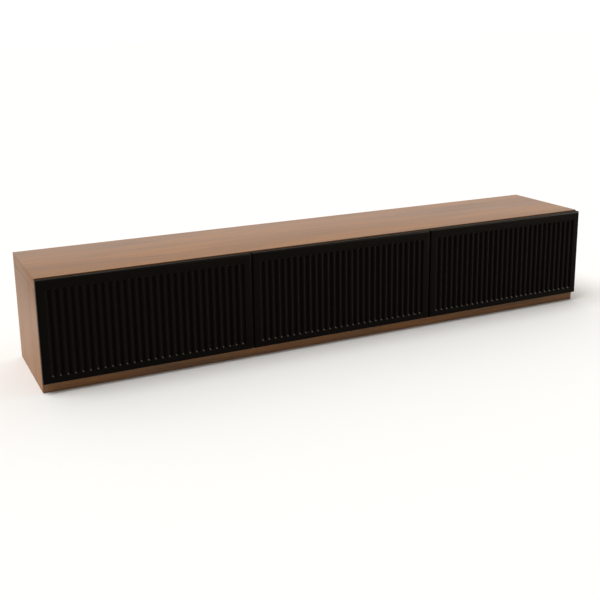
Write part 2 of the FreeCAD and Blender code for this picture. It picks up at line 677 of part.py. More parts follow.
def stay_brake(face_x, inward):
    """Plastic brake block: swivels on the trunnion, and the rod runs through it."""
    centre_x = face_x + inward * STAY_FROM_UPRIGHT
    half_length = BRAKE_LENGTH / 2
    half_height = BRAKE_HEIGHT / 2
    housing = Part.makeBox(BRAKE_WIDTH, BRAKE_HEIGHT, BRAKE_LENGTH,
                           Vector(-BRAKE_WIDTH / 2, -half_height, -half_length))
    long_edges = [edge for edge in housing.Edges if edge.BoundBox.XLength > BRAKE_WIDTH / 2]
    housing = housing.makeFillet(BRAKE_CORNER, long_edges)
    centre = Vector(centre_x, SWIVEL_Y, SWIVEL_Z)
    housing = moved(housing, centre, X_AXIS, ROD_DIRECTION)
    rod_half = half_length * ROD_DIRECTION
    bore = bar(centre - rod_half, centre + rod_half, ROD_RADIUS + ROD_FIT)
    socket_start = face_x + inward * BRAKE_START
    socket_end = face_x + inward * (STAY_PLATE_SHEET + TRUNNION_LENGTH + TRUNNION_END_GAP)
    socket = bar(Vector(socket_start, SWIVEL_Y, SWIVEL_Z), Vector(socket_end, SWIVEL_Y, SWIVEL_Z),
                 TRUNNION_RADIUS + TRUNNION_FIT)
    return housing.cut([bore, socket])


def stay_rod(face_x, inward):
    """Chromed rod with a pivot eye at the flap and a stop collar at its free end."""
    centre_x = face_x + inward * STAY_FROM_UPRIGHT
    pivot = Vector(centre_x, PIVOT_Y, PIVOT_Z)
    tail = pivot + ROD_LENGTH * ROD_DIRECTION
    eye = bar(pivot - EYE_HALF * X_AXIS, pivot + EYE_HALF * X_AXIS, EYE_RADIUS)
    shaft = bar(pivot, tail, ROD_RADIUS)
    collar = bar(tail - STOP_LENGTH * ROD_DIRECTION, tail, STOP_RADIUS)
    bore = bar(pivot - EYE_RADIUS * X_AXIS, pivot + EYE_RADIUS * X_AXIS, STAY_PIN_RADIUS + EYE_FIT)
    return eye.fuse([shaft, collar]).cut(bore)


def flap_bracket_screw_places(bay):
    """Screws of the stay brackets, into the flap's back."""
    places = []
    for face_x, inward in stay_planes(bay):
        x = face_x + inward * STAY_FROM_UPRIGHT
        for offset in (-FLAP_BRACKET_SCREW_OFFSET, FLAP_BRACKET_SCREW_OFFSET):
            places.append((Vector(x, FLAP_BACK + STAY_BASE_SHEET, PIVOT_Z + offset), Y_AXIS))
    return places


def flap_stay_bracket(face_x, inward, screw_holes):
    """Folded bracket on the flap: base plate, two ears and a riveted pin through them."""
    centre_x = face_x + inward * STAY_FROM_UPRIGHT
    ear_end = EAR_START + EAR_SHEET
    base = block(centre_x - ear_end, centre_x + ear_end, FLAP_BACK, FLAP_BACK + STAY_BASE_SHEET,
                 PIVOT_Z - STAY_BASE_HALF, PIVOT_Z + STAY_BASE_HALF)
    pieces = []
    for side in (-1.0, 1.0):
        x0, x1 = sorted((centre_x + side * EAR_START, centre_x + side * ear_end))
        pieces.append(block(x0, x1, FLAP_BACK, PIVOT_Y, PIVOT_Z - EAR_RADIUS, PIVOT_Z + EAR_RADIUS))
        pieces.append(bar(Vector(x0, PIVOT_Y, PIVOT_Z), Vector(x1, PIVOT_Y, PIVOT_Z), EAR_RADIUS))
    pin_half = (ear_end + RIVET_HEAD) * X_AXIS
    pivot = Vector(centre_x, PIVOT_Y, PIVOT_Z)
    pin = bar(pivot - pin_half, pivot + pin_half, STAY_PIN_RADIUS)
    return base.fuse(pieces + [pin]).removeSplitter().cut(screw_holes)


# ---------------------------------------------------------------- push latches
LATCH_WIDTH = 34.0
LATCH_HEIGHT = 16.0
LATCH_LENGTH = 78.0
LATCH_SETBACK = 3.0
LATCH_WALL = 2.0
LATCH_END_WALL = 4.0
LATCH_SCREW = 16.0
LATCH_SCREW_YS = (18.0, 66.0)
LATCH_SCREW_OFFSET = 12.0
PLUNGER_RADIUS = 5.0
PLUNGER_FIT = 0.1
PLUNGER_LENGTH = 62.0
MAGNET_RADIUS = 4.0
MAGNET_LENGTH = 2.0
STRIKE_SHEET = 1.5
STRIKE_GAP = 0.2
STRIKE_HALF_WIDTH = 16.0
STRIKE_HALF_HEIGHT = 7.0
STRIKE_CORNER = 3.0
STRIKE_SCREW_OFFSET = 11.0
LATCH_Z = TOP_UNDERSIDE - LATCH_HEIGHT / 2
LATCH_FRONT = FRONT + LATCH_SETBACK
PLUNGER_TIP = FLAP_BACK + STRIKE_SHEET + STRIKE_GAP


def latch_screw_places():
    """Screws of all latch housings, up into the top panel."""
    places = []
    for centre in FLAP_CENTRES:
        for depth in LATCH_SCREW_YS:
            for side in (-LATCH_SCREW_OFFSET, LATCH_SCREW_OFFSET):
                point = Vector(centre + side, LATCH_FRONT + depth, TOP_UNDERSIDE - LATCH_HEIGHT / 2)
                places.append((point, -Z_AXIS))
    return places


def latch_housing(bay):
    """Push-latch body under the top panel, with its plunger's bore and stepped screw ears."""
    centre = FLAP_CENTRES[bay]
    half = LATCH_WIDTH / 2
    core_half = PLUNGER_RADIUS + LATCH_WALL
    base = block(centre - half, centre + half, LATCH_FRONT, LATCH_FRONT + LATCH_LENGTH,
                 TOP_UNDERSIDE - LATCH_HEIGHT / 2, TOP_UNDERSIDE)
    core = block(centre - core_half, centre + core_half, LATCH_FRONT, LATCH_FRONT + LATCH_LENGTH,
                 TOP_UNDERSIDE - LATCH_HEIGHT, TOP_UNDERSIDE)
    bore_end = LATCH_FRONT + LATCH_LENGTH - LATCH_END_WALL
    bore = bar(Vector(centre, LATCH_FRONT, LATCH_Z), Vector(centre, bore_end, LATCH_Z),
               PLUNGER_RADIUS + PLUNGER_FIT)
    holes = placed_holes(latch_screw_places(), LATCH_SCREW)
    return base.fuse(core).removeSplitter().cut([bore] + holes)


def latch_plunger(bay):
    """Sprung plunger that pushes the flap off its closed stop; its tip is the magnet's seat."""
    centre = FLAP_CENTRES[bay]
    stem_start = PLUNGER_TIP + MAGNET_LENGTH
    magnet = bar(Vector(centre, PLUNGER_TIP, LATCH_Z), Vector(centre, stem_start, LATCH_Z), MAGNET_RADIUS)
    stem = bar(Vector(centre, stem_start, LATCH_Z), Vector(centre, PLUNGER_TIP + PLUNGER_LENGTH, LATCH_Z),
               PLUNGER_RADIUS)
    return magnet.fuse(stem)


def strike_screw_places(bay):
    """Screws of one strike plate, into the flap's back."""
    centre = FLAP_CENTRES[bay]
    y = FLAP_BACK + STRIKE_SHEET
    return [(Vector(centre + side * STRIKE_SCREW_OFFSET, y, LATCH_Z), Y_AXIS) for side in (-1.0, 1.0)]


def strike_plate(bay):
    """Steel plate on the flap that the magnet holds."""
    centre = FLAP_CENTRES[bay]
    plate = block(centre - STRIKE_HALF_WIDTH, centre + STRIKE_HALF_WIDTH, FLAP_BACK, FLAP_BACK + STRIKE_SHEET,
                  LATCH_Z - STRIKE_HALF_HEIGHT, LATCH_Z + STRIKE_HALF_HEIGHT)
    corners = [edge for edge in plate.Edges if edge.BoundBox.YLength > STRIKE_SHEET / 2]
    return plate.makeFillet(STRIKE_CORNER, corners).cut(placed_holes(strike_screw_places(bay), FLAP_SCREW))


BUMPER_OFFSET = 290.0
BUMPER_RADIUS = 5.0
BUMPER_THICKNESS = 1.7
BUMPER_Z = TOP_UNDERSIDE + TOP_THICKNESS / 2


def bumpers(bay):
    """Two self-adhesive buffers on the flap's back, against the top panel's front edge."""
    centre = FLAP_CENTRES[bay]
    places = [Vector(centre + side * BUMPER_OFFSET, FLAP_BACK, BUMPER_Z) for side in (-1.0, 1.0)]
    return [Part.makeCylinder(BUMPER_RADIUS, BUMPER_THICKNESS, place, Y_AXIS) for place in places]


# ---------------------------------------------------------------- writing the nodes
def save_carcase():
    """Boards, back panels and grommets."""
    save("top_panel", top_panel())
    save("side_panel_left", side_panel(0))
    save("side_panel_right", side_panel(1))
    save("divider_left", divider(0))
    save("divider_right", divider(1))
    save("bottom_panel", bottom_panel())
    save("plinth_front", plinth_front())
    save("plinth_rear", plinth_rear())
    save("plinth_stretchers", *plinth_stretchers())
    for bay, name in enumerate(BAY_NAMES):
        save("back_panel_" + name, back_panel(bay))
    save("cable_grommets", *[cable_grommet(bay) for bay in range(BAYS)])


def save_fittings():
    """Everything that joins the boards."""
    cam_joints = sum(top_joints(FITTING_YS) + floor_joints(FITTING_YS), [])
    dowel_joints = sum(top_joints(DOWEL_YS) + floor_joints(DOWEL_YS), [])
    save("cam_housings", *at_joints(cam_housing(), cam_joints))
    save("cam_bolts", *at_joints(cam_bolt(), cam_joints))
    save("wooden_dowels", *at_joints(dowel(), dowel_joints))
    save("divider_confirmats", *placed_screws(confirmat_places(), CONFIRMAT_LENGTH, **CONFIRMAT))
    save("plinth_brackets", *plinth_brackets())
    save("plinth_bracket_screws", *placed_screws(sum(bracket_screw_places(), []), BRACKET_SCREW))


def save_hardware():
    """Fixed halves of the hinges, stays and latches."""
    save("hinge_fixed_leaves", *[fixed_leaf(x) for x in hinge_centres()])
    save("hinge_pins", *[hinge_pin(x) for x in hinge_centres()])
    save("hinge_leaf_screws", *placed_screws(fixed_leaf_screw_places(), LEAF_SCREW))
    planes = all_stay_planes()
    plate_screws = [place for plane in planes for place in stay_plate_screw_places(*plane)]
    save("stay_plates", *[stay_plate(*plane) for plane in planes])
    save("stay_plate_screws", *placed_screws(plate_screws, STAY_PLATE_SCREW))
    save("latch_housings", *[latch_housing(bay) for bay in range(BAYS)])
    save("latch_screws", *placed_screws(latch_screw_places(), LATCH_SCREW))


def save_flap(bay, name):
    """One flap with all that moves with it."""
    leaf_holes = placed_holes(moving_leaf_screw_places(bay), FLAP_SCREW)
    bracket_holes = placed_holes(flap_bracket_screw_places(bay), FLAP_BRACKET_SCREW)
    leaves = [moving_leaf(FLAP_CENTRES[bay] + offset, leaf_holes) for offset in HINGE_OFFSETS]
    brackets = [flap_stay_bracket(*plane, bracket_holes) for plane in stay_planes(bay)]
    flap_screws = placed_screws(moving_leaf_screw_places(bay) + strike_screw_places(bay), FLAP_SCREW)
    bracket_screws = placed_screws(flap_bracket_screw_places(bay), FLAP_BRACKET_SCREW)
    save("flap_panel_" + name, flap_panel(bay))
    save("flap_hinge_leaves_" + name, *leaves)
    save("flap_screws_" + name, *flap_screws, *bracket_screws)
    save("flap_stay_brackets_" + name, *brackets)
    save("flap_strike_plate_" + name, strike_plate(bay))
    save("flap_bumpers_" + name, *bumpers(bay))
    save("stay_rods_" + name, *[stay_rod(*plane) for plane in stay_planes(bay)])
    save("stay_brakes_" + name, *[stay_brake(*plane) for plane in stay_planes(bay)])
    save("latch_plunger_" + name, latch_plunger(bay))


os.makedirs("parts", exist_ok=True)
save_carcase()
save_fittings()
save_hardware()
for bay_index, bay_name in enumerate(BAY_NAMES):
    save_flap(bay_index, bay_name)
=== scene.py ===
import json
import math

import bpy
from mathutils import Matrix, Vector

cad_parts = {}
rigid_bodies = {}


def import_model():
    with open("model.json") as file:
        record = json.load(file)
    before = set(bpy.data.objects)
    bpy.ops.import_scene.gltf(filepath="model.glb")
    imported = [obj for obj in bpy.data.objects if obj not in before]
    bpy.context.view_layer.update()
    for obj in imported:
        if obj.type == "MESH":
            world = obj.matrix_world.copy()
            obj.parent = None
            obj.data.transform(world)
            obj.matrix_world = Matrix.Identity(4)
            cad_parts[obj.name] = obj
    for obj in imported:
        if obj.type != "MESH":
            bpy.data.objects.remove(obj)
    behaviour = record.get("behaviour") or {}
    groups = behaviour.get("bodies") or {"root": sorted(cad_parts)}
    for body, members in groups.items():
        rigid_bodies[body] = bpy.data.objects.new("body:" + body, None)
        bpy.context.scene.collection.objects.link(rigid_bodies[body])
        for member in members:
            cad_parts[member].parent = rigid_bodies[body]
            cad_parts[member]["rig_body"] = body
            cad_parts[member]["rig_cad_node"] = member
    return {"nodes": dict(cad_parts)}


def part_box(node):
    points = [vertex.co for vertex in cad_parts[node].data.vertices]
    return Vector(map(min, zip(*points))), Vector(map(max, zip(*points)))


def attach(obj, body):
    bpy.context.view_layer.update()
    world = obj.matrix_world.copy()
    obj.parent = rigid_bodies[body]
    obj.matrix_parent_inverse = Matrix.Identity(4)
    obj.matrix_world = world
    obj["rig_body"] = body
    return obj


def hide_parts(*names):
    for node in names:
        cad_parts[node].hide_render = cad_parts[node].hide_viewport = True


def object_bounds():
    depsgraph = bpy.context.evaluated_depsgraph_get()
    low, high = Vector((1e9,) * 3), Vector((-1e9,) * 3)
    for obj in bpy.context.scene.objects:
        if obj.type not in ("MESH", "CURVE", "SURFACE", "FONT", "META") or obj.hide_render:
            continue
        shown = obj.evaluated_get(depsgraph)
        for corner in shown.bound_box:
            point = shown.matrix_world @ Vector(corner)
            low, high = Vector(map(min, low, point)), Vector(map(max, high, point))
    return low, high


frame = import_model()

cad_low, cad_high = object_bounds()


# ============================================================ boards of the carcase
# Six boards of 18 mm and a 36 mm top, all chipboard faced with walnut-print melamine. Each is cut to
# size, edged with the same print, drilled for its fittings and left with its edges just broken.
BOARD_EDGE_RADIUS = 0.0012
LOOSE_VERTEX_GAP = 0.000005
FLAT_WITHIN = math.radians(0.5)
SMOOTH_WITHIN = math.radians(35)
FACING = 0.7


def use_only(piece):
    """The piece alone is selected and active, as an operator needs it."""
    bpy.ops.object.select_all(action="DESELECT")
    piece.select_set(True)
    bpy.context.view_layer.objects.active = piece


def copied_node(node, name):
    """A copy of a CAD node with its loose triangles joined and its flat faces made whole."""
    source = frame["nodes"][node]
    piece = source.copy()
    piece.data = source.data.copy()
    piece.name = name
    piece.parent = None
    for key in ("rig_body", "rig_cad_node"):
        del piece[key]
    bpy.context.scene.collection.objects.link(piece)
    use_only(piece)
    bpy.ops.object.mode_set(mode="EDIT")
    bpy.ops.mesh.select_all(action="SELECT")
    bpy.ops.mesh.remove_doubles(threshold=LOOSE_VERTEX_GAP)
    bpy.ops.mesh.dissolve_limited(angle_limit=FLAT_WITHIN)
    bpy.ops.object.mode_set(mode="OBJECT")
    if piece.data.has_custom_normals:
        bpy.ops.mesh.customdata_custom_splitnormals_clear()
    return piece


def select_edges(piece, wanted):
    """Selects the edges whose two ends pass a test, and stays in edit mode."""
    use_only(piece)
    bpy.ops.object.mode_set(mode="EDIT")
    bpy.ops.mesh.select_mode(type="EDGE")
    bpy.ops.mesh.select_all(action="DESELECT")
    bpy.ops.object.mode_set(mode="OBJECT")
    points = [vertex.co for vertex in piece.data.vertices]
    for edge in piece.data.edges:
        edge.select = wanted(points[edge.vertices[0]], points[edge.vertices[1]])
    bpy.ops.object.mode_set(mode="EDIT")


def select_points(piece, wanted):
    """Selects the vertices that pass a test, and stays in edit mode."""
    use_only(piece)
    bpy.ops.object.mode_set(mode="EDIT")
    bpy.ops.mesh.select_mode(type="VERT")
    bpy.ops.mesh.select_all(action="DESELECT")
    bpy.ops.object.mode_set(mode="OBJECT")
    for vertex in piece.data.vertices:
        vertex.select = wanted(vertex.co)
    bpy.ops.object.mode_set(mode="EDIT")


def on_outline(low, high, first, second):
    """True for an edge that lies where two faces of the box meet."""
    shared = 0
    for axis in range(3):
        for side in (low[axis], high[axis]):
            if max(abs(first[axis] - side), abs(second[axis] - side)) < LOOSE_VERTEX_GAP:
                shared += 1
    return shared == 2


def break_outer_edges(piece, low, high, radius, segments=2):
    """Rounds the edges of a board's outline."""
    select_edges(piece, lambda first, second: on_outline(low, high, first, second))
    bpy.ops.mesh.bevel(offset=radius, segments=segments, affect="EDGES", clamp_overlap=True)
    bpy.ops.object.mode_set(mode="OBJECT")
    bpy.ops.object.shade_smooth_by_angle(angle=SMOOTH_WITHIN)


def linear(hex_colour):
    """sRGB hex to the linear colour that a shader takes."""
    channels = [int(hex_colour[start:start + 2], 16) / 255 for start in (1, 3, 5)]
    return [c / 12.92 if c <= 0.04045 else ((c + 0.055) / 1.055) ** 2.4 for c in channels] + [1.0]


def print_colour_in_painted_shade(hex_colour, tone):
    """A colour of the print, darkened evenly as painted shade."""
    return [channel * tone for channel in linear(hex_colour)[:3]] + [1.0]


def new_material(name):
    """A material with only an output."""
    material = bpy.data.materials.new(name)
    material.use_nodes = True
    material.node_tree.nodes.clear()
    return material


def add(material, kind, values=None, links=None, stops=None, **settings):
    """One node of a material or a world: its settings, its sockets' values and feeds, and a ramp's stops."""
    node = material.node_tree.nodes.new(kind)
    for key, value in settings.items():
        setattr(node, key, value)
    for socket, value in (values or {}).items():
        node.inputs[socket].default_value = value
    for socket, source in (links or {}).items():
        material.node_tree.links.new(source, node.inputs[socket])
    if stops:
        ramp = node.color_ramp
        while len(ramp.elements) < len(stops):
            ramp.elements.new(0.5)
        for element, (position, colour) in zip(ramp.elements, stops):
            element.position = position
            element.color = colour
    return node


# Real sizes of the printed figure, in metres: (length along the grain, width across it). The shares
# say how much of the tone each size makes.
FIGURE_BAND = (0.90, 0.055)
FIGURE_STREAK = (0.30, 0.0085)
FIGURE_FIBRE = (0.09, 0.0012)
FIGURE_PORE = (0.014, 0.0006)
BAND_SHARE = 0.36
STREAK_SHARE = 0.38
FIBRE_SHARE = 0.26
PRINT_TONES = ((0.38, "#785a45"), (0.47, "#8d6a4e"), (0.53, "#966c4a"), (0.62, "#a67850"))
PORE_COLOUR = "#5f4532"
GRAIN_TURNS = {"X": (0, 0, 0), "Y": (0, 0, math.radians(90)), "Z": (0, math.radians(90), 0)}


def walnut_melamine(name, grain, shift, gloss=0.32, tone=1.0):
    """Walnut-print melamine, pressed with a fine pore: calm brown with long greyish and reddish streaks."""
    material = new_material(name)
    place = add(material, "ShaderNodeTexCoord").outputs["Object"]
    turned = add(material, "ShaderNodeMapping", {"Rotation": GRAIN_TURNS[grain], "Location": shift},
                 {"Vector": place}).outputs["Vector"]

    def figure(size, detail, distortion):
        along, across = size
        scaled = add(material, "ShaderNodeMapping", {"Scale": (1 / along, 1 / across, 1 / across)},
                     {"Vector": turned})
        noise = add(material, "ShaderNodeTexNoise",
                    {"Scale": 1.0, "Detail": detail, "Roughness": 0.55, "Distortion": distortion},
                    {"Vector": scaled.outputs["Vector"]})
        return noise.outputs["Fac"]

    bands = figure(FIGURE_BAND, 3.0, 0.6)
    streaks = figure(FIGURE_STREAK, 4.0, 0.2)
    fibres = figure(FIGURE_FIBRE, 2.0, 0.0)
    pores = figure(FIGURE_PORE, 1.0, 0.0)
    wide = add(material, "ShaderNodeMath", {1: BAND_SHARE}, {0: bands}, operation="MULTIPLY")
    fine = add(material, "ShaderNodeMath", {1: STREAK_SHARE}, {0: streaks, 2: wide.outputs[0]},
               operation="MULTIPLY_ADD")
    total = add(material, "ShaderNodeMath", {1: FIBRE_SHARE}, {0: fibres, 2: fine.outputs[0]},
                operation="MULTIPLY_ADD")
    # A tone below 1 darkens every colour of the print evenly, as painted shade.
    colour = add(material, "ShaderNodeValToRGB", links={"Fac": total.outputs[0]},
                 stops=[(position, print_colour_in_painted_shade(hex_colour, tone)) for position, hex_colour in PRINT_TONES])
    pore_mask = add(material, "ShaderNodeMapRange",
                    {"From Min": 0.60, "From Max": 0.72, "To Min": 0.0, "To Max": 0.35}, {"Value": pores})
    base = add(material, "ShaderNodeMix", {"B": linear(PORE_COLOUR)},
               {"Factor": pore_mask.outputs["Result"], "A": colour.outputs["Color"]}, data_type="RGBA")
    dulled = add(material, "ShaderNodeMapRange", {"To Min": 0.42, "To Max": 0.56}, {"Value": streaks})
    relief = add(material, "ShaderNodeMath", {1: 0.5}, {0: pore_mask.outputs["Result"], 2: fibres},
                 operation="MULTIPLY_ADD")
    bump = add(material, "ShaderNodeBump", {"Strength": 0.10, "Distance": 0.0002},
               {"Height": relief.outputs[0]})
    shader = add(material, "ShaderNodeBsdfPrincipled", {"IOR": 1.48, "Specular IOR Level": gloss},
                 {"Base Color": base.outputs[2], "Roughness": dulled.outputs["Result"],
                  "Normal": bump.outputs["Normal"]})
    add(material, "ShaderNodeOutputMaterial", links={"Surface": shader.outputs["BSDF"]})
    return material


def faces_along(piece, axis, slot_index, signs=(-1, 1)):
    """Gives the faces that look along an axis, to one side or to both, another of the piece's materials."""
    for face in piece.data.polygons:
        if max(face.normal[axis] * sign for sign in signs) > FACING:
            face.material_index = slot_index


def finished_board(node, grain, shift, gloss=0.32, tone=1.0):
    """One carcase board with its edges broken, printed with the grain along one axis; a tone below 1 paints
    shade into its print.
    """
    low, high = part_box(node)
    board = copied_node(node, node + "_board")
    break_outer_edges(board, low, high, BOARD_EDGE_RADIUS)
    board.data.materials.clear()
    board.data.materials.append(walnut_melamine("Walnut-print melamine, " + node, grain, shift, gloss, tone))
    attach(board, "carcase")
    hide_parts(node)
    return board


# The end panels and the plinth are duller than the top's face, and their print is darkened as painted
# shade; the top's long edging is darkened most, as painted shade on the front edge. The third value of
# each board shifts its print, so that no two boards show the same figure.
SIDE_GLOSS = 0.13
SIDE_PAINTED_SHADE = 0.78
PLINTH_GLOSS = 0.05
PLINTH_PAINTED_SHADE = 0.92
EDGING_PAINTED_SHADE = 0.42
finished_board("bottom_panel", "X", (0.4, 0.9, 0.3))
finished_board("side_panel_left", "Z", (1.3, 0.2, 0.6), SIDE_GLOSS, SIDE_PAINTED_SHADE)
finished_board("side_panel_right", "Z", (2.1, 0.7, 0.1), SIDE_GLOSS, SIDE_PAINTED_SHADE)
finished_board("divider_left", "Z", (3.2, 0.5, 0.8))
finished_board("divider_right", "Z", (4.7, 0.1, 0.4))
finished_board("plinth_front", "X", (5.1, 0.3, 0.9), PLINTH_GLOSS, PLINTH_PAINTED_SHADE)
finished_board("plinth_rear", "X", (6.4, 0.6, 0.2))
top_board = finished_board("top_panel", "X", (7.7, 0.35, 0.5))
# The top's ends take the end panels' painted shade, and its long front edge the deepest painted shade.
end_edging_painted_shade = walnut_melamine("Walnut-print melamine, top's end edging", "Y", (8.3, 0.2, 0.7),
                             SIDE_GLOSS, SIDE_PAINTED_SHADE)
long_edging_painted_shade = walnut_melamine("Walnut-print melamine, top's long edging", "X", (2.9, 0.6, 0.1),
                              PLINTH_GLOSS, EDGING_PAINTED_SHADE)
for edging, axis, signs in ((end_edging_painted_shade, 0, (-1, 1)), (long_edging_painted_shade, 1, (-1,))):
    top_board.data.materials.append(edging)
    faces_along(top_board, axis, len(top_board.data.materials) - 1, signs)


# ============================================================ cams, bolts, dowels and long screws
# Die-cast zinc cams on plated steel bolts pull the boards together, grooved beech dowels keep them in
# line, and two long countersunk screws come up through the floor into each divider's foot.
METAL_GRIT = 0.0006
PATCHES_TO_GRIT = 0.05
FIBRE_OF_BEECH = (0.012, 0.0005)
FINE_ARRIS = 0.0003


def apply_modifier(piece, kind, **settings):
    """Adds one modifier and applies it."""
    use_only(piece)
    modifier = piece.modifiers.new(kind.title(), kind)
    for key, value in settings.items():
        setattr(modifier, key, value)
    bpy.ops.object.modifier_apply(modifier=modifier.name)


def finished_fitting(node, material, body="carcase", arris=0.0):
    """A fitting in its own finish, with its arrises broken if it has any, and smooth round surfaces."""
    fitting = copied_node(node, node + "_finished")
    if arris:
        apply_modifier(fitting, "BEVEL", width=arris, segments=2, limit_method="ANGLE",
                       angle_limit=SMOOTH_WITHIN)
    use_only(fitting)
    bpy.ops.object.shade_smooth_by_angle(angle=SMOOTH_WITHIN)
    fitting.data.materials.clear()
    fitting.data.materials.append(material)
    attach(fitting, body)
    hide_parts(node)
    return fitting


def plated_metal(name, dark, light, roughest, smoothest, grit, dents):
    """A metal whose surface was made in one way: patches of tone, a fine grit in the gloss, low dents."""
    material = new_material(name)
    place = add(material, "ShaderNodeTexCoord").outputs["Object"]
    patches = add(material, "ShaderNodeTexNoise", {"Scale": PATCHES_TO_GRIT / grit, "Detail": 3.0},
                  {"Vector": place})
    grains = add(material, "ShaderNodeTexNoise", {"Scale": 1 / grit, "Detail": 1.0}, {"Vector": place})
    tone = add(material, "ShaderNodeValToRGB", links={"Fac": patches.outputs["Fac"]},
               stops=[(0.35, linear(dark)), (0.65, linear(light))])
    gloss = add(material, "ShaderNodeMapRange", {"From Min": 0.3, "From Max": 0.7, "To Min": smoothest,
                                                 "To Max": roughest}, {"Value": grains.outputs["Fac"]})
    bump = add(material, "ShaderNodeBump", {"Strength": dents, "Distance": grit / 4},
               {"Height": grains.outputs["Fac"]})
    shader = add(material, "ShaderNodeBsdfPrincipled", {"Metallic": 1.0},
                 {"Base Color": tone.outputs["Color"], "Roughness": gloss.outputs["Result"],
                  "Normal": bump.outputs["Normal"]})
    add(material, "ShaderNodeOutputMaterial", links={"Surface": shader.outputs["BSDF"]})
    return material


def turned_beech():
    """Turned beech: pale pinkish brown, dull, with short dark flecks."""
    material = new_material("Beech dowel, turned")
    place = add(material, "ShaderNodeTexCoord").outputs["Object"]
    fleck_length, fleck_width = FIBRE_OF_BEECH
    scaled = add(material, "ShaderNodeMapping",
                 {"Scale": (1 / fleck_length, 1 / fleck_width, 1 / fleck_length)}, {"Vector": place})
    flecks = add(material, "ShaderNodeTexNoise", {"Scale": 1.0, "Detail": 2.0},
                 {"Vector": scaled.outputs["Vector"]})
    colour = add(material, "ShaderNodeValToRGB", links={"Fac": flecks.outputs["Fac"]},
                 stops=[(0.38, linear("#b58a62")), (0.55, linear("#cfa67c"))])
    bump = add(material, "ShaderNodeBump", {"Strength": 0.2, "Distance": 0.0002},
               {"Height": flecks.outputs["Fac"]})
    shader = add(material, "ShaderNodeBsdfPrincipled", {"Roughness": 0.75},
                 {"Base Color": colour.outputs["Color"], "Normal": bump.outputs["Normal"]})
    add(material, "ShaderNodeOutputMaterial", links={"Surface": shader.outputs["BSDF"]})
    return material


# Die-cast zinc is a dull blue-grey with a slightly grained skin; plated steel is brighter and smoother.
cast_zinc = plated_metal("Zinc, die-cast", "#8d9094", "#a3a6a9", 0.50, 0.38, METAL_GRIT, 0.25)
plated_steel = plated_metal("Zinc-plated steel, cold-headed", "#a9abad", "#bfc1c2", 0.34, 0.22,
                            METAL_GRIT, 0.10)
finished_fitting("cam_housings", cast_zinc, arris=FINE_ARRIS)
finished_fitting("cam_bolts", plated_steel)
finished_fitting("wooden_dowels", turned_beech())
finished_fitting("divider_confirmats", plated_steel)


# ============================================================ plinth's stretchers and brackets
# Three raw chipboard stretchers keep the plinth's front and rear boards apart. Folded steel angles, each
# with two countersunk screws, hang both boards under the cabinet's floor.
CHIP_SIZE = 0.0022
DUST_TO_CHIP = 3
DUST_SHARE = 0.35
SAWN_ARRIS = 0.0005


def raw_chipboard():
    """Raw chipboard: pressed flakes from straw to brown, with an open, dusty edge."""
    material = new_material("Chipboard, sawn")
    place = add(material, "ShaderNodeTexCoord").outputs["Object"]
    flakes = add(material, "ShaderNodeTexVoronoi", {"Scale": 1 / CHIP_SIZE, "Randomness": 1.0},
                 {"Vector": place})
    dust = add(material, "ShaderNodeTexNoise", {"Scale": DUST_TO_CHIP / CHIP_SIZE, "Detail": 2.0},
               {"Vector": place})
    shade = add(material, "ShaderNodeSeparateColor", links={"Color": flakes.outputs["Color"]})
    mixed = add(material, "ShaderNodeMath", {1: DUST_SHARE},
                {0: dust.outputs["Fac"], 2: shade.outputs["Red"]}, operation="MULTIPLY_ADD")
    colour = add(material, "ShaderNodeValToRGB", links={"Fac": mixed.outputs[0]}, stops=[
        (0.15, linear("#8a6c4a")),
        (0.60, linear("#b08f67")),
        (1.00, linear("#c9ab80")),
    ])
    bump = add(material, "ShaderNodeBump", {"Strength": 0.5, "Distance": 0.0004},
               {"Height": mixed.outputs[0]})
    shader = add(material, "ShaderNodeBsdfPrincipled", {"Roughness": 0.85, "Specular IOR Level": 0.3},
                 {"Base Color": colour.outputs["Color"], "Normal": bump.outputs["Normal"]})
    add(material, "ShaderNodeOutputMaterial", links={"Surface": shader.outputs["BSDF"]})
    return material


pressed_nickel = plated_metal("Nickel-plated steel, pressed", "#a8a49c", "#bcb8b0", 0.36, 0.24,
                              METAL_GRIT, 0.12)
finished_fitting("plinth_stretchers", raw_chipboard(), arris=SAWN_ARRIS)
finished_fitting("plinth_brackets", pressed_nickel, arris=FINE_ARRIS)
finished_fitting("plinth_bracket_screws", plated_steel)


# ============================================================ back panels
# Three sheets of 3 mm hardboard slid into grooves all round. The side that shows inside the bays is
# printed as the boards are; the outer side is bare, brown and slightly meshed from its press screen.
SCREEN_PITCH = 0.0016
FIBRES_PER_METRE = 260.0


